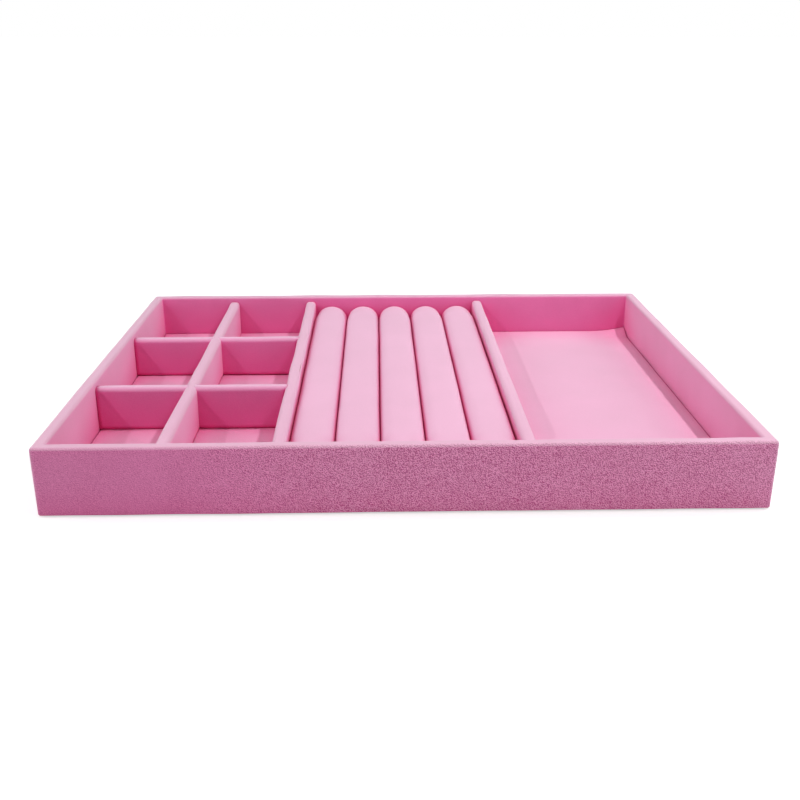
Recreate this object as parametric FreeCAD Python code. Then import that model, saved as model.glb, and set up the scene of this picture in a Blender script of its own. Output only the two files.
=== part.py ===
import FreeCAD, Part
import os

# A velvet-covered jewelry tray with three bays: a grid of six cells, a bed of ring rolls
# and one open compartment. Each physical piece is one solid.
# Units are mm. +Z is up, the front is at -Y, and the origin is the middle of the underside.

os.makedirs("parts", exist_ok=True)

# Overall size of the tray.
tray_w = 350.0
tray_d = 280.0
tray_h = 35.5

# Thickness of each sheet and board.
velvet_t = 1.0
base_felt_t = 1.0
base_board_t = 3.0
wall_board_t = 4.5
floor_card_t = 1.5
divider_board_t = 5.0

# Velvet over the walls: its roundings, and how far it is turned under the base.
rim_r = 1.6
corner_r = 2.0
foot_r = 1.6
turn_under_w = 12.0

# Felt on the underside, set in from the outline.
felt_inset = 2.5

# Rabbet that joins each side wall board to the front and rear boards.
rabbet_depth = 2.5

# Play round the floor lining.
lining_play = 0.4

# Bays from left to right. The open compartment takes the width that is left.
grid_bay_w = 103.8
roll_bay_w = 113.2

# Dividers: how far they stop below the rim, how much lower the two cross dividers are,
# their top rounding and their play.
divider_drop = 3.5
cross_drop = 0.5
divider_r = 2.0
grid_play = 0.3
lap_play = 0.15
lap_height_share = 0.5

# Ring rolls: their number, the depth of their flat underside, and their sleeves' tucked ends.
roll_count = 5
roll_flat = 1.25
roll_gap = 0.3
roll_end_play = 0.5
roll_end_r = 2.0
roll_end_opening_r = 5.0

# How near an edge must lie to a height to count as being on it.
match_tol = 0.01

# Heights of the layers, from the table up.
wrap_z = base_felt_t
base_z = wrap_z + velvet_t
wall_z = base_z + base_board_t
lining_z = wall_z + floor_card_t
floor_z = lining_z + velvet_t
divider_z = tray_h - divider_drop
cross_z = divider_z - cross_drop
lap_z = floor_z + (divider_z - floor_z) * lap_height_share

# Half sizes in plan: the outline, the boards and the inside of the walls.
wall_t = wall_board_t + 2 * velvet_t
out_x = tray_w / 2
out_y = tray_d / 2
board_x = out_x - velvet_t
board_y = out_y - velvet_t
in_x = out_x - wall_t
in_y = out_y - wall_t

# Places of the dividers.
divider_t = divider_board_t + 2 * velvet_t
left_partition_x = -in_x + grid_bay_w + divider_t / 2
right_partition_x = left_partition_x + divider_t + roll_bay_w
centre_divider_x = -in_x + grid_bay_w / 2
row_count = 3
row_d = (2 * in_y - (row_count - 1) * divider_t) / row_count
cross_y = (row_d + divider_t) / 2

# Places and sizes of the ring rolls.
roll_bay_x = left_partition_x + divider_t / 2
roll_pitch = roll_bay_w / roll_count
roll_r = (roll_pitch - roll_gap) / 2
roll_z = floor_z + roll_r - roll_flat
roll_y = in_y - roll_end_play


def block(x0, x1, y0, y1, z0, z1):
    """Box between two corners."""
    return Part.makeBox(x1 - x0, y1 - y0, z1 - z0, FreeCAD.Vector(x0, y0, z0))


def centred_block(half_x, half_y, z0, z1):
    """Box centred on the Z axis."""
    return block(-half_x, half_x, -half_y, half_y, z0, z1)


def edges_where(shape, test):
    """Edges of a shape whose bounding box passes a test."""
    return [edge for edge in shape.Edges if test(edge.BoundBox)]


def at_height(z):
    """Test for an edge that lies flat at one height."""
    return lambda box: abs(box.ZMin - z) < match_tol and abs(box.ZMax - z) < match_tol


def save(shape, node):
    """Write one solid to its own file."""
    shape.exportStep("parts/" + node + ".step")


def wall_wrap():
    """Velvet over the four walls: the walls' outer form less the boards inside it."""
    form = centred_block(out_x, out_y, wrap_z, tray_h)
    upright = edges_where(form, lambda box: box.ZLength > tray_h / 2)
    form = form.makeFillet(corner_r, upright)
    form = form.cut(centred_block(in_x, in_y, wall_z, tray_h))
    form = form.makeFillet(rim_r, edges_where(form, at_height(tray_h)))
    form = form.makeFillet(foot_r, edges_where(form, at_height(wrap_z)))
    base = centred_block(board_x, board_y, base_z, wall_z)
    under = centred_block(out_x - turn_under_w, out_y - turn_under_w, wrap_z, base_z)
    ring = centred_block(board_x, board_y, wall_z, tray_h - velvet_t)
    ring = ring.cut(centred_block(in_x + velvet_t, in_y + velvet_t, wall_z, tray_h))
    return form.cut(base).cut(under).cut(ring).removeSplitter()


def long_wall_board(side):
    """Front (-1) or rear (+1) wall board, with a rabbet at each end for the side boards."""
    y_out = side * board_y
    y_in = side * (board_y - wall_board_t)
    top = tray_h - velvet_t
    board = block(-board_x, board_x, min(y_out, y_in), max(y_out, y_in), wall_z, top)
    y_step = side * (board_y - wall_board_t + rabbet_depth)
    for end in (-1, 1):
        x_end = end * board_x
        x_step = end * (board_x - wall_board_t)
        notch = block(min(x_end, x_step), max(x_end, x_step), min(y_in, y_step), max(y_in, y_step), wall_z, top)
        board = board.cut(notch)
    return board


def side_wall_board(side):
    """Left (-1) or right (+1) wall board, seated in the rabbets of the long boards."""
    x_out = side * board_x
    x_in = side * (board_x - wall_board_t)
    half_y = board_y - wall_board_t + rabbet_depth
    return block(min(x_out, x_in), max(x_out, x_in), -half_y, half_y, wall_z, tray_h - velvet_t)


def rounded_divider(x0, x1, y0, y1, top):
    """Outer form of a covered divider, rounded along its two long top edges."""
    form = block(x0, x1, y0, y1, floor_z, top)
    flat_at_top = at_height(top)
    long_edges = [edge for edge in form.Edges if edge.Length > divider_t * 2]
    return form.makeFillet(divider_r, [edge for edge in long_edges if flat_at_top(edge.BoundBox)])


def divider_board(x0, x1, y0, y1, top):
    """Board inside a covered divider, one velvet thickness below its sides and top."""
    along_y = y1 - y0 > x1 - x0
    x_skin = velvet_t if along_y else 0
    y_skin = 0 if along_y else velvet_t
    return block(x0 + x_skin, x1 - x_skin, y0 + y_skin, y1 - y_skin, floor_z, top - velvet_t)


def covered_divider(node, plan, top, slots):
    """Save the board and the velvet of one divider, both cut by its lap slots."""
    board = divider_board(*plan, top)
    velvet = rounded_divider(*plan, top).cut(board)
    for slot in slots:
        board = board.cut(slot)
        velvet = velvet.cut(slot)
    save(board, node + "_board")
    save(velvet, node + "_velvet")


def roll_bar(x, skin):
    """Round bar along a ring roll's axis, a given skin inside the roll's outer surface."""
    start = FreeCAD.Vector(x, -roll_y + skin, roll_z)
    return Part.makeCylinder(roll_r - skin, 2 * (roll_y - skin), start, FreeCAD.Vector(0, 1, 0))


def flat_below(bar, x, z):
    """Bar with everything under one height taken off, so that it lies flat."""
    return bar.common(block(x - roll_r, x + roll_r, -roll_y, roll_y, z, tray_h))


def ring_roll(number):
    """Save the foam core and the velvet sleeve of one ring roll."""
    x = roll_bay_x + roll_pitch * (number - 1 / 2)
    core = flat_below(roll_bar(x, velvet_t), x, floor_z + velvet_t)
    bar = roll_bar(x, 0)
    bar = bar.makeFillet(roll_end_r, [edge for edge in bar.Edges if edge.isClosed()])
    start = FreeCAD.Vector(x, -roll_y, roll_z)
    opening = Part.makeCylinder(roll_end_opening_r, 2 * roll_y, start, FreeCAD.Vector(0, 1, 0))
    sleeve = flat_below(bar, x, floor_z).cut(core).cut(opening)
    save(core, "ring_roll_core_" + str(number))
    save(sleeve, "ring_roll_sleeve_" + str(number))


def lap_slot(x0, x1, y0, y1, z0, z1):
    """Room for a crossing divider, with play on each side of it."""
    return block(x0 - lap_play, x1 + lap_play, y0 - lap_play, y1 + lap_play, z0, z1)


# Base, from the table up.
save(centred_block(out_x - felt_inset, out_y - felt_inset, 0, base_felt_t), "base_felt")
save(centred_block(board_x, board_y, base_z, wall_z), "base_board")
save(centred_block(in_x - lining_play, in_y - lining_play, wall_z, lining_z), "floor_card")
save(centred_block(in_x - lining_play, in_y - lining_play, lining_z, floor_z), "floor_velvet")

# Walls.
save(long_wall_board(-1), "front_wall_board")
save(long_wall_board(1), "rear_wall_board")
save(side_wall_board(-1), "left_wall_board")
save(side_wall_board(1), "right_wall_board")
save(wall_wrap(), "wall_wrap")

# Partitions between the bays.
half_t = divider_t / 2
left_plan = (left_partition_x - half_t, left_partition_x + half_t, -in_y, in_y)
right_plan = (right_partition_x - half_t, right_partition_x + half_t, -in_y, in_y)
covered_divider("left_partition", left_plan, divider_z, [])
covered_divider("right_partition", right_plan, divider_z, [])

# Cell grid: the centre divider drops into slots in the upper half of the cross dividers,
# and its own slots take their lower half.
grid_y = in_y - grid_play
centre_plan = (centre_divider_x - half_t, centre_divider_x + half_t, -grid_y, grid_y)
cross_x0 = -in_x + grid_play
cross_x1 = left_partition_x - half_t - grid_play
cross_plans = {
    "front_cross": (cross_x0, cross_x1, -cross_y - half_t, -cross_y + half_t),
    "rear_cross": (cross_x0, cross_x1, cross_y - half_t, cross_y + half_t),
}
lower_slots = [lap_slot(*plan, floor_z, lap_z) for plan in cross_plans.values()]
upper_slot = lap_slot(*centre_plan, lap_z, divider_z)
covered_divider("centre_divider", centre_plan, divider_z, lower_slots)
for node, plan in cross_plans.items():
    covered_divider(node, plan, cross_z, [upper_slot])

# Ring rolls.
for number in range(1, roll_count + 1):
    ring_roll(number)
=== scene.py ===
"""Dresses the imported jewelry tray: velvet covers, ring rolls, boards, and the stage it is shown on."""

import math

import bpy
import numpy as np
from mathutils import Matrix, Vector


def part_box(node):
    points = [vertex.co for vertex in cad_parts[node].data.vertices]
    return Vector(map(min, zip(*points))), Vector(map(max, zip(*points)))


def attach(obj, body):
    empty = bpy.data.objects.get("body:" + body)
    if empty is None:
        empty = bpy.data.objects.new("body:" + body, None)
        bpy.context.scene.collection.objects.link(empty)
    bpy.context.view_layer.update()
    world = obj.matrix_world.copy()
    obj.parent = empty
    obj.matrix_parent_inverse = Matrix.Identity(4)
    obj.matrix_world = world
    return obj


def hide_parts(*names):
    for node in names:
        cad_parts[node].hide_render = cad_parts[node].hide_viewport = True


bl_info = {
    "name": "Velvet Jewelry Tray",
    "version": (1, 0, 0),
    "blender": (4, 5, 0),
    "location": "View3D > Sidebar > Tray",
    "description": "Builds the covers and finishes of a velvet jewelry tray around its solids",
    "category": "Object",
}

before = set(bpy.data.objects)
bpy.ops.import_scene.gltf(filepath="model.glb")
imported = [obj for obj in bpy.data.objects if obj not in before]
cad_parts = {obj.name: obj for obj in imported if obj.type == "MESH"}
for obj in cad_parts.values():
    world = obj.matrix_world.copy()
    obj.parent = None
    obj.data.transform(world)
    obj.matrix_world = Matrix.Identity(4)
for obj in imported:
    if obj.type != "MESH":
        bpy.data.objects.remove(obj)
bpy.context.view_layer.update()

MM = 0.001
ROLLS = range(1, 6)
# Lights as name, place, width and height in metres, and power in watts. Each side of the tray has a small
# pair and a wide one, and there is one low in front and one above.
LIGHTS = [
    ("right_rear", (0.36, 0.0, 0.69), 0.03, 0.03, 1.77),
    ("right_front", (0.36, -0.45, 0.69), 0.03, 0.03, 0.95),
    ("left_rear", (-0.76, -0.10, 0.90), 0.04, 0.04, 1.05),
    ("left_front", (-0.76, -0.95, 0.90), 0.04, 0.04, 2.25),
    ("side_right", (0.90, -0.05, 0.50), 0.60, 0.60, 3.0),
    ("side_left", (-0.90, -0.05, 0.50), 0.60, 0.60, 3.15),
    ("front", (0.45, -1.15, 0.06), 0.60, 0.06, 1.6),
    ("top", (0.0, 0.0, 1.20), 0.80, 0.80, 2.3),
]
# Strength of the even light from all round, and the colour and the glow of the paper under the tray.
WORLD_LEVEL = 0.135
PAPER_CODE = "#CCCCCC"
PAPER_GLOW = 0.6
WALL_BOARDS = ["front_wall_board", "rear_wall_board", "left_wall_board", "right_wall_board"]
DIVIDER_BOARDS = [
    "left_partition_board",
    "right_partition_board",
    "centre_divider_board",
    "front_cross_board",
    "rear_cross_board",
]


def linear(code):
    """Linear colour of an sRGB hex value, by the two-part sRGB curve."""
    share = np.array([int(code[i : i + 2], 16) for i in (1, 3, 5)]) / 255
    low = share / 12.92
    high = ((share + 0.055) / 1.055) ** 2.4
    return tuple(np.where(share <= 0.04045, low, high))


def length(name, description, default_mm):
    """Length property in metres with its default in millimetres."""
    return bpy.props.FloatProperty(
        name=name, description=description, default=default_mm * MM, unit="LENGTH", precision=4
    )


def colour(name, description, code):
    """Colour property with its default as an sRGB hex value."""
    return bpy.props.FloatVectorProperty(
        name=name, description=description, default=linear(code), size=3, min=0, max=1, subtype="COLOR"
    )


class TraySizes(bpy.types.PropertyGroup):
    """Sizes of the soft covers. Places and overall sizes come from the solids."""

    velvet: length("Velvet", "Thickness of the velvet with its pile", 1.0)
    rim_round: length("Rim rounding", "Radius of the velvet over the rim's two edges", 1.7)
    corner_round: length("Corner rounding", "Radius of the tray's upright outer corners", 2.0)
    inner_corner_round: length("Inner corner rounding", "Radius of the walls' inside corners", 0.7)
    foot_round: length("Foot rounding", "Radius of the velvet where it turns under the base", 0.8)
    fold_drop: length("Fold drop", "How far the fold under the walls hangs below the base", 0.5)
    turn_under: length("Turn-under", "Width of velvet turned under the base", 12.0)
    wall: length("Wall", "Thickness of a covered wall", 6.5)
    inner_foot: length("Inner foot", "Height of the lower edge of the velvet inside the walls", 5.0)
    divider_round: length("Divider rounding", "Radius of the velvet over a divider's top edges", 2.6)
    cross_rise: length("Cross divider rise", "How far the pile stands up on top of the cross dividers", 0.5)
    divider_lift: length("Divider lift", "Gap under the lower edges of the divider covers", 0.5)
    lap: length("Lap height", "Height at which the slotted dividers meet", 19.75)
    lap_play: length("Lap play", "Play of a slot on each side of the divider in it", 0.15)
    ripple: length("Ripple", "How far glued velvet leaves a true surface", 0.12)
    roll_end_round: length("Roll end rounding", "Radius at the ends of a ring roll", 2.4)
    roll_opening: length("Roll end opening", "Radius left open where a sleeve is tucked in", 5.0)
    pile_reach: length("Pile reach", "How far the pile stands out into the gaps beside it", 0.2)
    grain: length("Pile grain", "Distance between tuft marks in the pile", 0.5)


class TrayColours(bpy.types.PropertyGroup):
    """Colours of the finishes."""

    # The pale and deep velvet colours are the painted lit and shaded sides of the tufts; mixed, the pile's
    # own colour.
    velvet: colour("Velvet", "Tufts lit from the side", "#FF9AD0")
    velvet_deep_shaded: colour("Velvet, deep", "Hollows between the tufts, down to the roots", "#C25487")
    # Painted shade: the deeper colour of the pile in cells and narrow gaps.
    velvet_gap_shade: colour("Velvet in gaps", "Pile in narrow gaps, lit by light from other pile", "#EC3C8E")
    # Painted sheen: the pale colour of the pile at a glance, also the tint of the shader's own sheen.
    velvet_sheen: colour("Velvet tips", "Light caught by the tips of the pile", "#FFF4FF")
    velvet_worn: colour("Velvet, worn", "Tips greyed by handling, on walls and dividers", "#C7B0B5")
    board: colour("Fibreboard", "Raw fibreboard", "#B08D62")
    board_dark: colour("Fibreboard fibres", "Darker fibres in the board", "#8C6C47")
    card: colour("Grey card", "Raw grey card", "#9A958C")
    felt: colour("Felt", "Felt on the underside", "#D99AB8")
    # Painted shade: the dark felt colour stands for the hollows between the fibres.
    felt_hollow_shade: colour("Felt, dark", "Hollows between the felt's fibres", "#BC7698")
    foam: colour("Foam", "Foam core of a ring roll", "#F2ECE2")
    # Painted shade: the pore colour stands for the shade inside the open pores.
    foam_pore_shade: colour("Foam pores", "Open pores in the foam", "#CFC6B8")


def sizes():
    """Sizes set on the scene."""
    return bpy.context.scene.tray_sizes


def colours():
    """Colours set on the scene."""
    return bpy.context.scene.tray_colours


def add_node(tree, kind, inputs=None, **settings):
    """Add one shader node. Settings are its attributes. Inputs give sockets a value or a feeding socket."""
    node = tree.nodes.new(kind)
    for name, value in settings.items():
        setattr(node, name, value)
    for name, value in (inputs or {}).items():
        if isinstance(value, bpy.types.NodeSocket):
            tree.links.new(value, node.inputs[name])
        else:
            node.inputs[name].default_value = value
    return node


def new_material(name):
    """Empty node material and its tree, or None for the tree where the material exists already."""
    known = bpy.data.materials.get(name)
    if known:
        return known, None
    material = bpy.data.materials.new(name)
    material.use_nodes = True
    material.node_tree.nodes.clear()
    return material, material.node_tree


def opaque(rgb):
    """Colour with full alpha."""
    return (*rgb, 1.0)


def per_metre(size):
    """Noise scale whose features are about one size wide, in metres."""
    return 1 / size


def velvet_material():
    """Short-pile polyester velvet, glued on and brushed.

    The pile is dull and deep in colour where one looks down into it, and a painted sheen makes it pale
    where it is seen at a glance. Tufts give a fine grain with painted highlight and shade on their sides,
    cells and gaps get painted shade, and handling leaves broad soft marks.
    """
    material, tree = new_material("polyester_velvet")
    if tree is None:
        return material
    paint = colours()
    mark_size = 34 * MM
    sky_reach = 40 * MM
    cell_shade_share = 0.33
    level_shade_share = 0.08
    tip_highlight_share = 0.17
    slant = (0.22 * MM, 0.22 * MM, 0.32 * MM)
    off_axes = (0.6, 0.35, 0.9)
    tuft_height = 0.4 * MM
    place = add_node(tree, "ShaderNodeTexCoord").outputs["Object"]
    # Outer faces are rubbed in use, which roughs up their tufts: there the painted highlight and shade of
    # the tufts are stronger, the lit tufts get painted pale tips, and the bump is deeper.
    rub = add_node(tree, "ShaderNodeAttribute", attribute_name="rub").outputs["Fac"]
    # Real tufts are about 0.3 mm wide. They are drawn coarser so that they show at this distance.
    # Each tuft gets a painted highlight on one side and painted shade on the other: the noise less the
    # same noise a step aside.
    # The noise is turned off the tray's axes, so that its own grid does not show on the flat faces.
    askew = add_node(tree, "ShaderNodeMapping", {"Vector": place, "Rotation": off_axes}).outputs[0]
    aside = add_node(tree, "ShaderNodeVectorMath", {0: askew, 1: slant}, operation="ADD").outputs[0]
    tuft = {"Scale": per_metre(sizes().grain), "Detail": 1.0, "Roughness": 0.5}
    grain = add_node(tree, "ShaderNodeTexNoise", {"Vector": askew, **tuft}).outputs["Fac"]
    grain_aside = add_node(tree, "ShaderNodeTexNoise", {"Vector": aside, **tuft}).outputs["Fac"]
    marks = add_node(
        tree,
        "ShaderNodeTexNoise",
        {"Vector": place, "Scale": per_metre(mark_size), "Detail": 2.0, "Roughness": 0.5},
    ).outputs["Fac"]
    contrast = add_node(
        tree, "ShaderNodeMapRange", {"Value": rub, "To Min": 0.2, "To Max": 5.0}
    ).outputs["Result"]
    painted_tuft_shade = add_node(tree, "ShaderNodeMath", {0: grain, 1: grain_aside}, operation="SUBTRACT").outputs[0]
    facing = add_node(tree, "ShaderNodeNewGeometry").outputs["Normal"]
    height = add_node(tree, "ShaderNodeSeparateXYZ", {"Vector": facing}).outputs["Z"]
    turned_up = add_node(
        tree, "ShaderNodeMapRange", {"Value": height, "From Min": 0.1, "From Max": 0.5}
    ).outputs["Result"]
    level = add_node(
        tree,
        "ShaderNodeMapRange",
        {"Value": marks, "From Min": 0.3, "From Max": 0.7, "To Min": 0.52, "To Max": 0.64},
    ).outputs["Result"]
    # Painted shade: level faces are mixed further towards the deep colour, which makes them darker.
    level = add_node(
        tree, "ShaderNodeMath", {0: turned_up, 1: -level_shade_share, 2: level}, operation="MULTIPLY_ADD"
    ).outputs[0]
    depth = add_node(
        tree,
        "ShaderNodeMath",
        {0: painted_tuft_shade, 1: contrast, 2: level},
        operation="MULTIPLY_ADD",
        use_clamp=True,
    ).outputs[0]
    pile = add_node(
        tree,
        "ShaderNodeMix",
        {0: depth, 6: opaque(paint.velvet_deep_shaded), 7: opaque(paint.velvet)},
        data_type="RGBA",
    ).outputs[2]
    # Painted shade: in a cell, and more so in a narrow gap, where the occlusion closes off the sky, the
    # colour is mixed towards a deeper pink that stands for light gone from pile to pile.
    sky = add_node(tree, "ShaderNodeAmbientOcclusion", {"Distance": sky_reach}, samples=6).outputs["AO"]
    cell_shade_mix = add_node(
        tree,
        "ShaderNodeMapRange",
        {"Value": sky, "From Min": 0.48, "From Max": 0.68, "To Min": cell_shade_share, "To Max": 0.0},
    ).outputs["Result"]
    gap_shade_mix = add_node(
        tree,
        "ShaderNodeMapRange",
        {"Value": sky, "From Min": 0.05, "From Max": 0.3, "To Min": 1.0 - cell_shade_share, "To Max": 0.0},
    ).outputs["Result"]
    painted_gap_shade = add_node(tree, "ShaderNodeMath", {0: cell_shade_mix, 1: gap_shade_mix}, operation="ADD").outputs[0]
    pile = add_node(
        tree, "ShaderNodeMix", {0: painted_gap_shade, 6: pile, 7: opaque(paint.velvet_gap_shade)}, data_type="RGBA"
    ).outputs[2]
    # Painted sheen: the colour is mixed towards the pale tip colour as faces turn away from the view,
    # more on level faces than on upright ones, and only where the sky is open to them.
    glance = add_node(tree, "ShaderNodeLayerWeight", {"Blend": 0.5}).outputs["Facing"]
    upright = add_node(
        tree,
        "ShaderNodeMapRange",
        {"Value": glance, "From Min": 0.1, "From Max": 0.8, "To Min": 0.0, "To Max": 0.36},
    ).outputs["Result"]
    lying = add_node(
        tree,
        "ShaderNodeMapRange",
        {"Value": glance, "From Min": 0.0, "From Max": 0.8, "To Min": 0.16, "To Max": 0.49},
    ).outputs["Result"]
    tips = add_node(tree, "ShaderNodeMix", {0: turned_up, 2: upright, 3: lying}).outputs[0]
    open_sky = add_node(
        tree,
        "ShaderNodeMapRange",
        {"Value": sky, "From Min": 0.2, "From Max": 0.8, "To Min": 0.1, "To Max": 1.0},
    ).outputs["Result"]
    painted_sheen_shown = add_node(tree, "ShaderNodeMath", {0: tips, 1: open_sky}, operation="MULTIPLY").outputs[0]
    tip_highlight = add_node(tree, "ShaderNodeMath", {0: rub, 1: depth}, operation="MULTIPLY").outputs[0]
    sheen_share = add_node(
        tree, "ShaderNodeMath", {0: tip_highlight, 1: tip_highlight_share, 2: painted_sheen_shown}, operation="MULTIPLY_ADD"
    ).outputs[0]
    tinted = add_node(
        tree,
        "ShaderNodeMix",
        {0: sheen_share, 6: pile, 7: opaque(paint.velvet_sheen)},
        data_type="RGBA",
    ).outputs[2]
    # The tops of the walls and the long dividers are handled most, which greys their tips.
    handled = add_node(tree, "ShaderNodeAttribute", attribute_name="handled").outputs["Fac"]
    greyed = add_node(tree, "ShaderNodeMath", {0: handled, 1: turned_up}, operation="MULTIPLY").outputs[0]
    tinted = add_node(
        tree, "ShaderNodeMix", {0: greyed, 6: tinted, 7: opaque(paint.velvet_worn)}, data_type="RGBA"
    ).outputs[2]
    relief = add_node(
        tree, "ShaderNodeMapRange", {"Value": rub, "To Min": 0.15, "To Max": 1.0}
    ).outputs["Result"]
    bump = add_node(
        tree, "ShaderNodeBump", {"Height": grain, "Strength": relief, "Distance": tuft_height}
    ).outputs["Normal"]
    shader = add_node(
        tree,
        "ShaderNodeBsdfPrincipled",
        {
            "Base Color": tinted,
            "Roughness": 0.95,
            "Specular IOR Level": 0.05,
            "Sheen Weight": 0.15,
            "Sheen Roughness": 0.4,
            "Sheen Tint": opaque(paint.velvet_sheen),
            "Normal": bump,
        },
    )
    add_node(tree, "ShaderNodeOutputMaterial", {"Surface": shader.outputs[0]})
    return material


def fibreboard_material():
    """Medium-density fibreboard, sawn and left raw: dull tan, with short pressed fibres and a dusty cut."""
    material, tree = new_material("raw_fibreboard")
    if tree is None:
        return material
    paint = colours()
    fibre_size = 1.1 * MM
    fibre_height = 0.2 * MM
    place = add_node(tree, "ShaderNodeTexCoord").outputs["Object"]
    fibres = add_node(
        tree,
        "ShaderNodeTexNoise",
        {"Vector": place, "Scale": per_metre(fibre_size), "Detail": 4.0, "Roughness": 0.7},
    ).outputs["Fac"]
    tan = add_node(
        tree,
        "ShaderNodeMix",
        {0: fibres, 6: opaque(paint.board_dark), 7: opaque(paint.board)},
        data_type="RGBA",
    ).outputs[2]
    bump = add_node(tree, "ShaderNodeBump", {"Height": fibres, "Strength": 0.2, "Distance": fibre_height})
    shader = add_node(
        tree,
        "ShaderNodeBsdfPrincipled",
        {"Base Color": tan, "Roughness": 0.85, "Specular IOR Level": 0.25, "Normal": bump.outputs[0]},
    )
    add_node(tree, "ShaderNodeOutputMaterial", {"Surface": shader.outputs[0]})
    return material


def card_material():
    """Grey chipboard card, pressed from waste paper: flat grey with darker flecks."""
    material, tree = new_material("grey_chipboard")
    if tree is None:
        return material
    paint = colours()
    fleck_size = 2.0 * MM
    place = add_node(tree, "ShaderNodeTexCoord").outputs["Object"]
    flecks = add_node(
        tree,
        "ShaderNodeTexNoise",
        {"Vector": place, "Scale": per_metre(fleck_size), "Detail": 5.0, "Roughness": 0.75},
    ).outputs["Fac"]
    level = add_node(
        tree,
        "ShaderNodeMapRange",
        {"Value": flecks, "From Min": 0.3, "From Max": 0.7, "To Min": 0.75, "To Max": 1.08},
    ).outputs["Result"]
    grey = add_node(
        tree, "ShaderNodeVectorMath", {0: paint.card, "Scale": level}, operation="SCALE"
    ).outputs[0]
    shader = add_node(
        tree, "ShaderNodeBsdfPrincipled", {"Base Color": grey, "Roughness": 0.88, "Specular IOR Level": 0.2}
    )
    add_node(tree, "ShaderNodeOutputMaterial", {"Surface": shader.outputs[0]})
    return material


def felt_material():
    """Needled polyester felt: matted fibres with no weave, dull, with a short fuzz that catches light."""
    material, tree = new_material("needled_felt")
    if tree is None:
        return material
    paint = colours()
    fibre_size = 1.6 * MM
    fuzz_height = 0.3 * MM
    fibre_stretch = (1.0, 0.45, 1.0)
    place = add_node(tree, "ShaderNodeTexCoord").outputs["Object"]
    stretched = add_node(tree, "ShaderNodeMapping", {"Vector": place, "Scale": fibre_stretch}).outputs[0]
    fibres = add_node(
        tree,
        "ShaderNodeTexNoise",
        {
            "Vector": stretched,
            "Scale": per_metre(fibre_size),
            "Detail": 6.0,
            "Roughness": 0.7,
            "Distortion": 1.2,
        },
    ).outputs["Fac"]
    # Painted shade: the darker patches of the noise stand for the hollows between the fibres.
    pink = add_node(
        tree,
        "ShaderNodeMix",
        {0: fibres, 6: opaque(paint.felt_hollow_shade), 7: opaque(paint.felt)},
        data_type="RGBA",
    ).outputs[2]
    bump = add_node(tree, "ShaderNodeBump", {"Height": fibres, "Strength": 0.4, "Distance": fuzz_height})
    shader = add_node(
        tree,
        "ShaderNodeBsdfPrincipled",
        {
            "Base Color": pink,
            "Roughness": 0.95,
            "Specular IOR Level": 0.1,
            "Sheen Weight": 0.3,
            "Sheen Roughness": 0.5,
            "Normal": bump.outputs[0],
        },
    )
    add_node(tree, "ShaderNodeOutputMaterial", {"Surface": shader.outputs[0]})
    return material


def foam_material():
    """Open-cell polyurethane foam, cut: off-white, dull, and full of small round pores."""
    material, tree = new_material("polyurethane_foam")
    if tree is None:
        return material
    paint = colours()
    pore_size = 0.9 * MM
    pore_depth = 0.3 * MM
    place = add_node(tree, "ShaderNodeTexCoord").outputs["Object"]
    pores = add_node(
        tree, "ShaderNodeTexVoronoi", {"Vector": place, "Scale": per_metre(pore_size)}, feature="F1"
    ).outputs["Distance"]
    # Painted shade: the pores are drawn in a darker colour for the shade inside them.
    white = add_node(
        tree,
        "ShaderNodeMix",
        {0: pores, 6: opaque(paint.foam_pore_shade), 7: opaque(paint.foam)},
        data_type="RGBA",
    ).outputs[2]
    bump = add_node(tree, "ShaderNodeBump", {"Height": pores, "Strength": 0.5, "Distance": pore_depth})
    shader = add_node(
        tree,
        "ShaderNodeBsdfPrincipled",
        {"Base Color": white, "Roughness": 0.9, "Specular IOR Level": 0.15, "Normal": bump.outputs[0]},
    )
    add_node(tree, "ShaderNodeOutputMaterial", {"Surface": shader.outputs[0]})
    return material


def grid_faces(start, rows, columns, wrap_rows, wrap_columns, cap_ends):
    """Faces over a grid of points numbered from a start, one quad between each four neighbours.

    A grid that wraps is also joined from its last row or column to its first. Capped ends are closed by
    one face over the first row and one over the last.
    """
    grid = start + np.arange(rows * columns).reshape(rows, columns)
    index = grid
    if wrap_rows:
        index = np.vstack([index, index[:1]])
    if wrap_columns:
        index = np.hstack([index, index[:, :1]])
    corners = [index[:-1, :-1], index[1:, :-1], index[1:, 1:], index[:-1, 1:]]
    faces = np.stack(corners, axis=-1).reshape(-1, 4).tolist()
    if cap_ends:
        faces.append(grid[0].tolist())
        faces.append(grid[-1, ::-1].tolist())
    return faces


def grid_piece(name, grids, wrap_rows=False, wrap_columns=False, cap_ends=False):
    """Mesh over one or more grids of points, each an island of its own."""
    sharp_deg = 50
    points = []
    faces = []
    for grid in grids:
        faces.extend(grid_faces(len(points), *grid.shape[:2], wrap_rows, wrap_columns, cap_ends))
        points.extend(grid.reshape(-1, 3).tolist())
    mesh = bpy.data.meshes.new(name)
    mesh.from_pydata(points, [], faces)
    mesh.polygons.foreach_set("use_smooth", np.ones(len(mesh.polygons), bool))
    mesh.set_sharp_from_angle(angle=math.radians(sharp_deg))
    mesh.update()
    piece = bpy.data.objects.new(name, mesh)
    bpy.context.scene.collection.objects.link(piece)
    return piece


def thicken(piece, depth):
    """Give a sheet its thickness, on the side away from its outward faces."""
    solid = piece.modifiers.new("thickness", "SOLIDIFY")
    solid.thickness = depth
    solid.offset = -1
    solid.use_even_offset = True


def handle(piece, greyed_share):
    """Mark a piece as handled, by the share of tips that are greyed where it faces up."""
    marks = piece.data.attributes.new("handled", "FLOAT", "POINT")
    marks.data.foreach_set("value", np.full(len(piece.data.vertices), greyed_share, np.float32))


def dress(piece, node, body, material):
    """Finish a piece: its material, the body that carries it and the solid that it stands for."""
    piece.data.materials.append(material)
    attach(piece, body)
    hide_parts(node)


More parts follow.
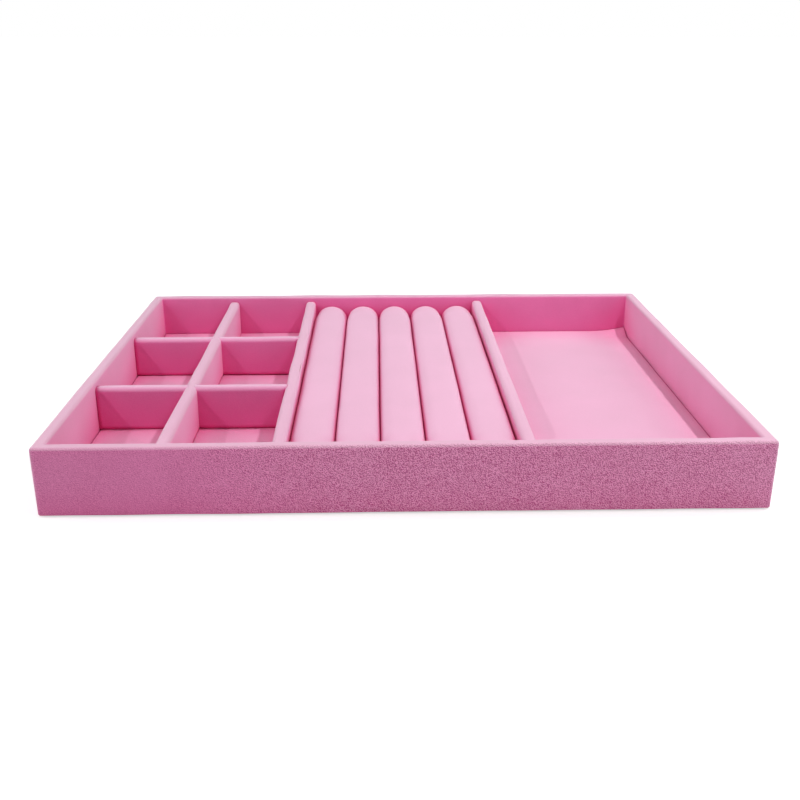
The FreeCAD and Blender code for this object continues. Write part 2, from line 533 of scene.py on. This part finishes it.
def arc(centre, radius, start_deg, end_deg, count):
    """Points on a circular arc in a plane, from one angle to another."""
    angle = np.radians(np.linspace(start_deg, end_deg, count))
    return np.stack([centre[0] + radius * np.cos(angle), centre[1] + radius * np.sin(angle)], axis=-1)


def run(start, end, count):
    """Points on a straight run between two points, without its ends."""
    share = np.linspace(0, 1, count + 2)[1:-1, None]
    return np.array(start) * (1 - share) + np.array(end) * share


def ripple(points, seed, wave, count=9):
    """Soft unevenness of about -1 to 1: sine waves of about one wavelength, summed in random directions."""
    draw = np.random.default_rng(seed)
    direction = draw.normal(size=(count, 3))
    direction /= np.linalg.norm(direction, axis=1)[:, None]
    stretch = draw.uniform(0.7, 1.6, count)
    phase = draw.uniform(0, 2 * math.pi, count)
    turns = np.tensordot(points, direction, axes=(-1, 1)) * (2 * math.pi / (wave * stretch)) + phase
    return np.sin(turns).sum(axis=-1) / math.sqrt(count)


def outward(profile):
    """Unit normals of a profile in its plane: its direction of travel, turned a quarter to the left."""
    along = np.gradient(profile, axis=0)
    normal = np.stack([-along[:, 1], along[:, 0]], axis=-1)
    return normal / np.linalg.norm(normal, axis=1)[:, None]


def rounded_path(side_counts, corner_count):
    """Samples along a rounded rectangle, as blends of two points on its corner arcs.

    Each sample is (corner, angle, next corner, its angle, share), anticlockwise from above. An arc sample
    has share 0, and a sample along a side lies that share of the way to the start of the next arc.
    """
    samples = []
    for corner, side_count in enumerate(side_counts):
        first = corner * 90
        last = first + 90
        following = (corner + 1) % 4
        angle = np.linspace(first, last, corner_count)
        share = np.linspace(0, 1, side_count + 2)[1:-1]
        samples.append(np.stack(np.broadcast_arrays(corner, angle, corner, angle, 0.0), axis=-1))
        samples.append(np.stack(np.broadcast_arrays(corner, last, following, last, share), axis=-1))
    return np.concatenate(samples)


def on_rounded_rectangle(path, half_x, half_y, radius):
    """Points of a rounded rectangle at each path sample, for arrays of half sizes and corner radii."""
    sign_x = np.array([1, -1, -1, 1])
    sign_y = np.array([1, 1, -1, -1])

    def on_arc(corner, angle):
        """Points at given angles on the arcs at given corners."""
        corner = corner.astype(int)
        turn = np.radians(angle)[:, None]
        x = sign_x[corner][:, None] * (half_x - radius) + radius * np.cos(turn)
        y = sign_y[corner][:, None] * (half_y - radius) + radius * np.sin(turn)
        return x, y

    x0, y0 = on_arc(path[:, 0], path[:, 1])
    x1, y1 = on_arc(path[:, 2], path[:, 3])
    share = path[:, 4][:, None]
    return x0 * (1 - share) + x1 * share, y0 * (1 - share) + y1 * share


def wall_wrap_profile(low, high):
    """Cross-section of the wrap as (inset, height): turn-under, foot, outer face, rim and inner face."""
    size = sizes()
    foot = size.foot_round
    rim = size.rim_round
    wall = size.wall
    fold_start = 3 * foot
    under = low[2] - size.fold_drop
    top = high[2]
    return np.concatenate(
        [
            run((size.turn_under, low[2]), (fold_start, low[2]), 4),
            run((fold_start, low[2]), (foot, under), 2),
            arc((foot, under + foot), foot, 270, 180, 7),
            run((0, under + foot), (0, top - rim), 14),
            arc((rim, top - rim), rim, 180, 90, 8),
            run((rim, top), (wall - rim, top), 3),
            arc((wall - rim, top - rim), rim, 90, 0, 8),
            run((wall, top - rim), (wall, size.inner_foot), 14),
            [(wall, size.inner_foot)],
        ]
    )


class TRAY_OT_wall_wrap(bpy.types.Operator):
    """Build the velvet strip that covers the four walls"""

    bl_idname = "tray.wall_wrap"
    bl_label = "Wall wrap"

    def execute(self, context):
        """Carry the wall's cross-section round the tray's outline, one rounded rectangle for each inset."""
        size = sizes()
        side_counts = (118, 94, 118, 94)
        corner_count = 9
        seed = 3
        wave = 46 * MM
        greyed_share = 0.2
        low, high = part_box("wall_wrap")
        profile = wall_wrap_profile(low, high)
        path = rounded_path(side_counts, corner_count)
        inset = profile[:, 0][None, :]
        height = np.broadcast_to(profile[:, 1][None, :], (len(path), len(profile)))
        radius = np.maximum(size.corner_round - inset, size.inner_corner_round)
        x, y = on_rounded_rectangle(path, high[0] - inset, high[1] - inset, radius)
        points = np.stack([x, y, height], axis=-1)
        normal = outward(profile)
        sag = size.ripple * (ripple(points, seed, wave) - 1)
        inset = inset + sag * normal[:, 0][None, :]
        radius = np.maximum(size.corner_round - inset, size.inner_corner_round)
        x, y = on_rounded_rectangle(path, high[0] - inset, high[1] - inset, radius)
        points = np.stack([x, y, height + sag * normal[:, 1][None, :]], axis=-1)
        piece = grid_piece("wall_wrap_velvet", [points], wrap_rows=True)
        rub = piece.data.attributes.new("rub", "FLOAT", "POINT")
        outer = np.sqrt(np.clip(1 - profile[:, 0] / size.rim_round, 0, 1))
        rub.data.foreach_set("value", (outer * self.roughed(x, y, low)).ravel().astype(np.float32))
        handle(piece, greyed_share)
        thicken(piece, size.velvet)
        dress(piece, "wall_wrap", "tray", velvet_material())
        return {"FINISHED"}

    def roughed(self, x, y, low):
        """Share of rubbed tufts: all, but fewer on the left of the front face, where the pile lies smooth.

        It rises from left to right along the front in a smooth step.
        """
        smooth_share = 0.85
        smooth_end = -125 * MM
        rough_start = -15 * MM
        step = np.clip((x - smooth_end) / (rough_start - smooth_end), 0, 1)
        on_front = y < low[1] + sizes().rim_round
        return 1 - on_front * smooth_share * (1 - step**2 * (3 - 2 * step))


def lying_sheet(low, high, columns, rows):
    """Grid over a rectangle, with how far each point turns away over its rounded edge.

    The outer rows lie on a quarter circle, and at the corners on a quarter of a sphere.
    """
    edge = 0.4 * MM
    edge_count = 5
    turn = edge * (1 - np.cos(np.radians(np.linspace(90, 0, edge_count))))
    x = np.linspace(low[0] + edge, high[0] - edge, columns)[1:-1]
    y = np.linspace(low[1] + edge, high[1] - edge, rows)[1:-1]
    x = np.concatenate([low[0] + turn[::-1], x, high[0] - turn])
    y = np.concatenate([low[1] + turn[::-1], y, high[1] - turn])
    grid_x, grid_y = np.meshgrid(x, y, indexing="ij")
    reach_x = np.clip((np.abs(grid_x) - (high[0] - edge)) / edge, 0, 1)
    reach_y = np.clip((np.abs(grid_y) - (high[1] - edge)) / edge, 0, 1)
    reach = np.clip(np.hypot(reach_x, reach_y), 0, 1)
    return grid_x, grid_y, edge * (1 - np.sqrt(1 - reach**2))


class TRAY_OT_floor_lining(bpy.types.Operator):
    """Build the velvet sheet on the floor"""

    bl_idname = "tray.floor_lining"
    bl_label = "Floor lining"

    def execute(self, context):
        """Lay a grid over the floor whose outer rows turn down over the card's edge."""
        size = sizes()
        columns = 150
        rows = 120
        seed = 11
        wave = 60 * MM
        bedding = 0.3 * MM
        low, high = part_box("floor_velvet")
        grid_x, grid_y, drop = lying_sheet(low, high, columns, rows)
        flat = np.stack([grid_x, grid_y, np.zeros_like(grid_x)], axis=-1)
        sag = size.ripple * (ripple(flat, seed, wave) - 1)
        height = high[2] + sag - drop + self.curl(grid_x, grid_y, high)
        points = np.stack([grid_x, grid_y, height], axis=-1)
        piece = grid_piece("floor_velvet_sheet", [points])
        thicken(piece, size.velvet - bedding)
        dress(piece, "floor_velvet", "tray", velvet_material())
        return {"FINISHED"}

    def curl(self, x, y, high):
        """Rise of the lining's rear edge outside the ring roll bay, and more at its right corner.

        Both are smooth steps of the distance from the rear edge. The second one also falls off from the
        right edge.
        """
        rise = 1.1 * MM
        reach = 14 * MM
        fade = 8 * MM
        corner_rise = 3.0 * MM
        corner_reach = 26 * MM
        rolls = [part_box(f"ring_roll_sleeve_{number}") for number in ROLLS]
        clear = np.maximum(rolls[0][0][0] - x, x - rolls[-1][1][0])
        beside = np.clip(clear / fade, 0, 1)
        near = np.clip((y - high[1] + reach) / reach, 0, 1)
        near_right = np.clip((x - high[0] + corner_reach) / corner_reach, 0, 1)
        return (rise * beside + corner_rise * near_right**2) * near**2 * (3 - 2 * near)


def cover_grid(node, along, station, foot, top, seed):
    """One length of a divider's velvet: a U-shaped cross-section carried along it.

    The two legs run from the foot to where the rounding starts, a quarter arc leads to the top, and the
    same goes down the other side. Soft waves make it lean and sag a little, more towards its top.
    """
    size = sizes()
    lean_share = 1.3
    lean_wave = 44 * MM
    sag_wave = 32 * MM
    leg_count = 11
    turn_count = 8
    low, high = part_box(node)
    across = 1 - along
    half = (high[across] - low[across]) / 2
    middle = (high[across] + low[across]) / 2
    rounding = size.divider_round
    leg = np.linspace(1, 0, leg_count + 1)[:-1]
    turn = np.radians(np.linspace(180, 90, turn_count))
    flat = np.linspace(-half + rounding, 0, 3)[1:]
    width = np.concatenate([np.full(len(leg), -half), -half + rounding * (1 + np.cos(turn)), flat])
    foot_share = np.concatenate([leg, np.zeros(len(turn) + len(flat))])
    rise = np.concatenate([np.zeros(len(leg)), rounding * np.sin(turn), np.full(len(flat), rounding)])
    width = np.concatenate([width, -width[-2::-1]])
    foot_share = np.concatenate([foot_share, foot_share[-2::-1]])
    rise = np.concatenate([rise, rise[-2::-1]])
    height = foot_share * foot[:, None] + (1 - foot_share) * (top - rounding)[:, None] + rise
    grid = np.zeros((len(station), len(width), 3))
    grid[..., along] = station[:, None]
    grid[..., across] = middle + (width if along == 0 else -width)
    grid[..., 2] = height
    climb = (height - low[2]) / (high[2] - low[2])
    lean = lean_share * size.ripple * ripple(grid, seed, lean_wave) * climb
    sag = size.ripple * (ripple(grid, seed + 1, sag_wave) - 1) * climb
    grid[..., across] += lean
    grid[..., 2] += sag
    return grid


def stations(start, end, breaks=()):
    """Places along a divider about 2 mm apart, with a pair of places close round each break."""
    step = 2.2 * MM
    close = 0.02 * MM
    even = np.linspace(start, end, int((end - start) / step) + 2)
    pairs = [place + side for place in breaks for side in (-close, close)]
    return np.sort(np.concatenate([even, pairs]))


def divider_cover(node, body, grids, greyed_share):
    """Finish the velvet of one divider from its lengths."""
    skin_share = 0.9
    piece = grid_piece(node + "_cover", grids)
    handle(piece, greyed_share)
    thicken(piece, skin_share * sizes().velvet)
    dress(piece, node, body, velvet_material())


class TRAY_OT_partitions(bpy.types.Operator):
    """Build the velvet covers of the two long partitions"""

    bl_idname = "tray.partitions"
    bl_label = "Partitions"

    def execute(self, context):
        """Carry the divider's cross-section along each partition."""
        greyed_share = 0.1
        for seed, node in ((21, "left_partition_velvet"), (31, "right_partition_velvet")):
            low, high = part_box(node)
            place = stations(low[1], high[1])
            foot = np.full(len(place), low[2] + sizes().divider_lift)
            top = np.full(len(place), high[2])
            grid = cover_grid(node, 1, place, foot, top, seed)
            divider_cover(node, "tray", [grid], greyed_share)
        return {"FINISHED"}


class TRAY_OT_cell_grid(bpy.types.Operator):
    """Build the velvet covers of the slotted cell dividers"""

    bl_idname = "tray.cell_grid"
    bl_label = "Cell grid"

    def execute(self, context):
        """Carry the divider's cross-section along each one, lower or higher where the dividers cross."""
        crosses = {"front_cross_velvet": 51, "rear_cross_velvet": 61}
        self.centre_divider(crosses)
        for node, seed in crosses.items():
            self.cross_divider(node, seed)
        return {"FINISHED"}

    def centre_divider(self, crosses):
        """Cover of the divider whose feet step up over the two cross dividers."""
        size = sizes()
        node = "centre_divider_velvet"
        seed = 41
        greyed_share = 0.14
        play = size.lap_play
        low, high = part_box(node)
        boxes = [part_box(cross) for cross in crosses]
        slots = [(cross_low[1] - play, cross_high[1] + play) for cross_low, cross_high in boxes]
        place = stations(low[1], high[1], np.ravel(slots))
        in_slot = np.any([(place > start) & (place < end) for start, end in slots], axis=0)
        foot = np.where(in_slot, size.lap + play, low[2] + size.divider_lift)
        top = np.full(len(place), high[2])
        grid = cover_grid(node, 1, place, foot, top, seed)
        divider_cover(node, "cell_grid", [grid], greyed_share)

    def cross_divider(self, node, seed):
        """Cover in three lengths: full height to the left and right, and low under the centre divider.

        The two high lengths run into the rounding of the centre divider's top. The pile closes most of the
        play at the outer ends, and on the right it leans over the rounding of the partition's top.
        """
        size = sizes()
        low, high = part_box(node)
        centre_low, centre_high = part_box("centre_divider_velvet")
        run_in = 0.8 * size.divider_round
        lean_share = 0.45
        greyed_share = 0.0
        top = high[2] + size.cross_rise
        lengths = [
            (low[0] - size.pile_reach, centre_low[0] + run_in, top),
            (centre_low[0], centre_high[0], size.lap - size.lap_play),
            (centre_high[0] - run_in, high[0] + size.pile_reach, top),
        ]
        grids = []
        for start, end, height in lengths:
            place = stations(start, end)
            foot = np.full(len(place), low[2] + size.divider_lift)
            grids.append(cover_grid(node, 0, place, foot, np.full(len(place), height), seed))
        right_end = grids[-1][-1]
        right_end[:, 0] += lean_share * np.clip(right_end[:, 2] - top + size.divider_round, 0, None)
        divider_cover(node, "cell_grid", grids, greyed_share)


def roll_rows(radius, half_length, end_round, opening, tuck):
    """Rows of a roll as (radius, place along it): lip, end face, rounded edge and length, then mirrored."""
    lip_width = 0.15 * MM
    lip_depth = 0.25 * MM
    face_gap = 0.4 * MM
    edge_count = 9
    body_count = 110
    lip = [(opening, -half_length + tuck), (opening + lip_width, -half_length + lip_depth)]
    face = run((opening + face_gap, -half_length), (radius - end_round, -half_length), 4)
    edge = arc((radius - end_round, -half_length + end_round), end_round, 270, 360, edge_count)
    start = np.concatenate([lip, face, edge])
    body = run((radius, -half_length + end_round), (radius, half_length - end_round), body_count)
    return np.concatenate([start, body, (start * (1, -1))[::-1]])


def roll_surface(rows, x, z, floor, seed, amount):
    """Surface of a roll: rows round its axis, circles at its ends and rounded squares between them.

    Rolls that are pressed together have fuller sides: away from its round ends, the radius at each angle
    is that of a superellipse. It lies flat on the floor: a soft maximum of the row's height and the
    floor's rounds the two edges of the flat.
    """
    power = 4.0
    round_end = 24 * MM
    wave = 48 * MM
    blend = 0.5 * MM
    columns = 64
    turn = np.radians(np.linspace(-90, 270, columns + 1)[:-1])
    fuller = (np.abs(np.cos(turn)) ** power + np.abs(np.sin(turn)) ** power) ** (-1 / power)
    inward = np.clip((np.abs(rows[:, 1]).max() - np.abs(rows[:, 1])) / round_end, 0, 1)[:, None]
    radius = rows[:, 0][:, None] * (1 + (fuller - 1) * inward)
    along = np.broadcast_to(rows[:, 1][:, None], (len(rows), len(turn)))
    grid = np.stack([x + radius * np.cos(turn), along, z + radius * np.sin(turn)], axis=-1)
    uneven = amount * (ripple(grid, seed, wave) - 1)
    radius = radius + uneven * np.clip(radius / rows[:, 0].max() * 2 - 1, 0, 1)
    height = z + radius * np.sin(turn)
    height = floor + (height - floor + np.sqrt((height - floor) ** 2 + blend**2)) / 2
    return np.stack([x + radius * np.cos(turn), along, height], axis=-1)


class TRAY_OT_ring_rolls(bpy.types.Operator):
    """Build the velvet sleeves and foam cores of the ring rolls"""

    bl_idname = "tray.ring_rolls"
    bl_label = "Ring rolls"

    def execute(self, context):
        """Carry a round section along each roll, flattened below, with its ends tucked in."""
        size = sizes()
        skin = size.velvet
        cloth = 0.8 * skin
        core_opening = 0.4 * MM
        core_tuck = 0.2 * MM
        core_round = size.roll_end_round / 2
        sleeve_seed = 70
        core_seed = 80
        for number in ROLLS:
            node = f"ring_roll_sleeve_{number}"
            body = f"ring_roll_{number}"
            low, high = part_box(node)
            radius = (high[0] - low[0]) / 2
            x = (high[0] + low[0]) / 2
            z = high[2] - radius
            outer = radius + size.pile_reach
            rows = roll_rows(outer, high[1], size.roll_end_round, size.roll_opening, skin)
            points = roll_surface(rows, x, z, low[2], sleeve_seed + number, size.ripple / 2)
            sleeve = grid_piece(node + "_cover", [points], wrap_columns=True)
            thicken(sleeve, cloth)
            dress(sleeve, node, body, velvet_material())
            core_rows = roll_rows(radius - skin, high[1] - skin, core_round, core_opening, core_tuck)[1:-1]
            points = roll_surface(core_rows, x, z, low[2] + skin, core_seed + number, 0)
            core = grid_piece(f"ring_roll_core_{number}_foam", [points], wrap_columns=True, cap_ends=True)
            dress(core, f"ring_roll_core_{number}", body, foam_material())
        return {"FINISHED"}


class TRAY_OT_underside(bpy.types.Operator):
    """Build the felt sheet on the underside"""

    bl_idname = "tray.underside"
    bl_label = "Underside felt"

    def execute(self, context):
        """Lay a grid over the felt's underside whose outer rows turn up to the base."""
        columns = 90
        rows = 72
        felt_share = 0.8
        low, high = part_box("base_felt")
        grid_x, grid_y, lift = lying_sheet(low, high, columns, rows)
        points = np.stack([grid_x, grid_y, low[2] + lift], axis=-1)
        piece = grid_piece("base_felt_sheet", [points[::-1]])
        thicken(piece, felt_share * (high[2] - low[2]))
        dress(piece, "base_felt", "tray", felt_material())
        return {"FINISHED"}


class TRAY_OT_boards(bpy.types.Operator):
    """Finish the boards and the card under the velvet"""

    bl_idname = "tray.boards"
    bl_label = "Boards"

    def execute(self, context):
        """Put the board and card finishes on the solids that stay as they are."""
        for name in ["base_board", *WALL_BOARDS, *DIVIDER_BOARDS]:
            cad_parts[name].data.materials.clear()
            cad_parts[name].data.materials.append(fibreboard_material())
        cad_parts["floor_card"].data.materials.clear()
        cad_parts["floor_card"].data.materials.append(card_material())
        return {"FINISHED"}


class TRAY_OT_stage(bpy.types.Operator):
    """Build the floor, the lights and the camera"""

    bl_idname = "tray.stage"
    bl_label = "Stage"

    def execute(self, context):
        """Lay a wide pale floor, light the tray and set the camera at the photograph's angle."""
        scene = context.scene
        scene.view_settings.view_transform = "Standard"
        self.floor()
        self.world(scene)
        for name, place, width, height, power in LIGHTS:
            self.light(scene, name, place, width, height, power)
        self.camera(scene)
        return {"FINISHED"}

    def light(self, scene, name, place, width, height, power):
        """Soft light of one width and height, turned to face the tray."""
        data = bpy.data.lights.new(name, "AREA")
        data.shape = "RECTANGLE"
        data.size = width
        data.size_y = height
        data.energy = power
        light = bpy.data.objects.new(name, data)
        light.location = place
        light.rotation_euler = (-light.location).to_track_quat("-Z", "Y").to_euler()
        scene.collection.objects.link(light)

    def floor(self):
        """Flat sheet of matt white paper, lifted to plain white away from the tray where it is seen."""
        near = 0.02
        far = 60.0
        step_count = 24
        below = 0.2 * MM
        glow_near = 0.2
        glow_far = 0.8
        reach = np.geomspace(near, far, step_count)
        line = np.concatenate([-reach[::-1], [0.0], reach])
        x, y = np.meshgrid(line, line, indexing="ij")
        points = np.stack([x, y, np.full_like(x, -below)], axis=-1)
        floor = grid_piece("floor", [points])
        material, tree = new_material("white_paper")
        paper = add_node(tree, "ShaderNodeBsdfDiffuse", {"Color": opaque(linear(PAPER_CODE))})
        place = add_node(tree, "ShaderNodeTexCoord").outputs["Object"]
        away = add_node(tree, "ShaderNodeVectorMath", {0: place}, operation="LENGTH").outputs["Value"]
        lift = add_node(
            tree,
            "ShaderNodeMapRange",
            {
                "Value": away,
                "From Min": glow_near,
                "From Max": glow_far,
                "To Min": PAPER_GLOW,
                "To Max": 1.0,
            },
        ).outputs["Result"]
        seen = add_node(tree, "ShaderNodeLightPath").outputs["Is Camera Ray"]
        strength = add_node(tree, "ShaderNodeMath", {0: lift, 1: seen}, operation="MULTIPLY").outputs[0]
        glow = add_node(tree, "ShaderNodeEmission", {"Strength": strength})
        both = add_node(tree, "ShaderNodeAddShader", {0: paper.outputs[0], 1: glow.outputs[0]})
        add_node(tree, "ShaderNodeOutputMaterial", {"Surface": both.outputs[0]})
        floor.data.materials.append(material)

    def world(self, scene):
        """Even light from all round, and plain white where the world itself is seen."""
        world = bpy.data.worlds.new("plain_white")
        world.use_nodes = True
        scene.world = world
        tree = world.node_tree
        tree.nodes.clear()
        white = opaque((1.0, 1.0, 1.0))
        light = add_node(tree, "ShaderNodeBackground", {"Color": white, "Strength": WORLD_LEVEL}).outputs[0]
        plain = add_node(tree, "ShaderNodeBackground", {"Color": white, "Strength": 1.0}).outputs[0]
        path = add_node(tree, "ShaderNodeLightPath").outputs
        seen = path["Is Camera Ray"]
        for ray in ("Is Glossy Ray", "Is Transmission Ray"):
            seen = add_node(tree, "ShaderNodeMath", {0: seen, 1: path[ray]}, operation="MAXIMUM").outputs[0]
        pick = add_node(tree, "ShaderNodeMixShader", {0: seen, 1: light, 2: plain}).outputs[0]
        add_node(tree, "ShaderNodeOutputWorld", {"Surface": pick})

    def camera(self, scene):
        """Camera fitted to the photograph's rim and front face."""
        focal_px = 974.5
        image_px = 800
        sensor_mm = 36.0
        place = (-0.0134, -0.5554, 0.2140)
        down_deg = 20.596
        right_deg = 1.380
        data = bpy.data.cameras.new("camera")
        data.sensor_width = sensor_mm
        data.lens = focal_px / image_px * sensor_mm
        camera = bpy.data.objects.new("camera", data)
        camera.location = place
        camera.rotation_euler = (math.radians(90 - down_deg), 0, math.radians(-right_deg))
        scene.collection.objects.link(camera)
        scene.camera = camera


class TRAY_PT_panel(bpy.types.Panel):
    """Sidebar list of the tray's pieces"""

    bl_label = "Velvet jewelry tray"
    bl_idname = "TRAY_PT_panel"
    bl_space_type = "VIEW_3D"
    bl_region_type = "UI"
    bl_category = "Tray"

    def draw(self, context):
        """List each operator as a button."""
        for operator in OPERATORS:
            self.layout.operator(operator.bl_idname)


OPERATORS = (
    TRAY_OT_wall_wrap,
    TRAY_OT_floor_lining,
    TRAY_OT_partitions,
    TRAY_OT_cell_grid,
    TRAY_OT_ring_rolls,
    TRAY_OT_underside,
    TRAY_OT_boards,
    TRAY_OT_stage,
)
CLASSES = (TraySizes, TrayColours, *OPERATORS, TRAY_PT_panel)


def register():
    """Register the classes and put their settings on the scene."""
    for item in CLASSES:
        bpy.utils.register_class(item)
    bpy.types.Scene.tray_sizes = bpy.props.PointerProperty(type=TraySizes)
    bpy.types.Scene.tray_colours = bpy.props.PointerProperty(type=TrayColours)


def unregister():
    """Take the settings and the classes away again."""
    del bpy.types.Scene.tray_colours
    del bpy.types.Scene.tray_sizes
    for item in reversed(CLASSES):
        bpy.utils.unregister_class(item)


def main():
    """Build every piece."""
    register()
    bpy.ops.tray.wall_wrap()
    bpy.ops.tray.floor_lining()
    bpy.ops.tray.partitions()
    bpy.ops.tray.cell_grid()
    bpy.ops.tray.ring_rolls()
    bpy.ops.tray.underside()
    bpy.ops.tray.boards()
    bpy.ops.tray.stage()


if __name__ == "__main__":
    main()
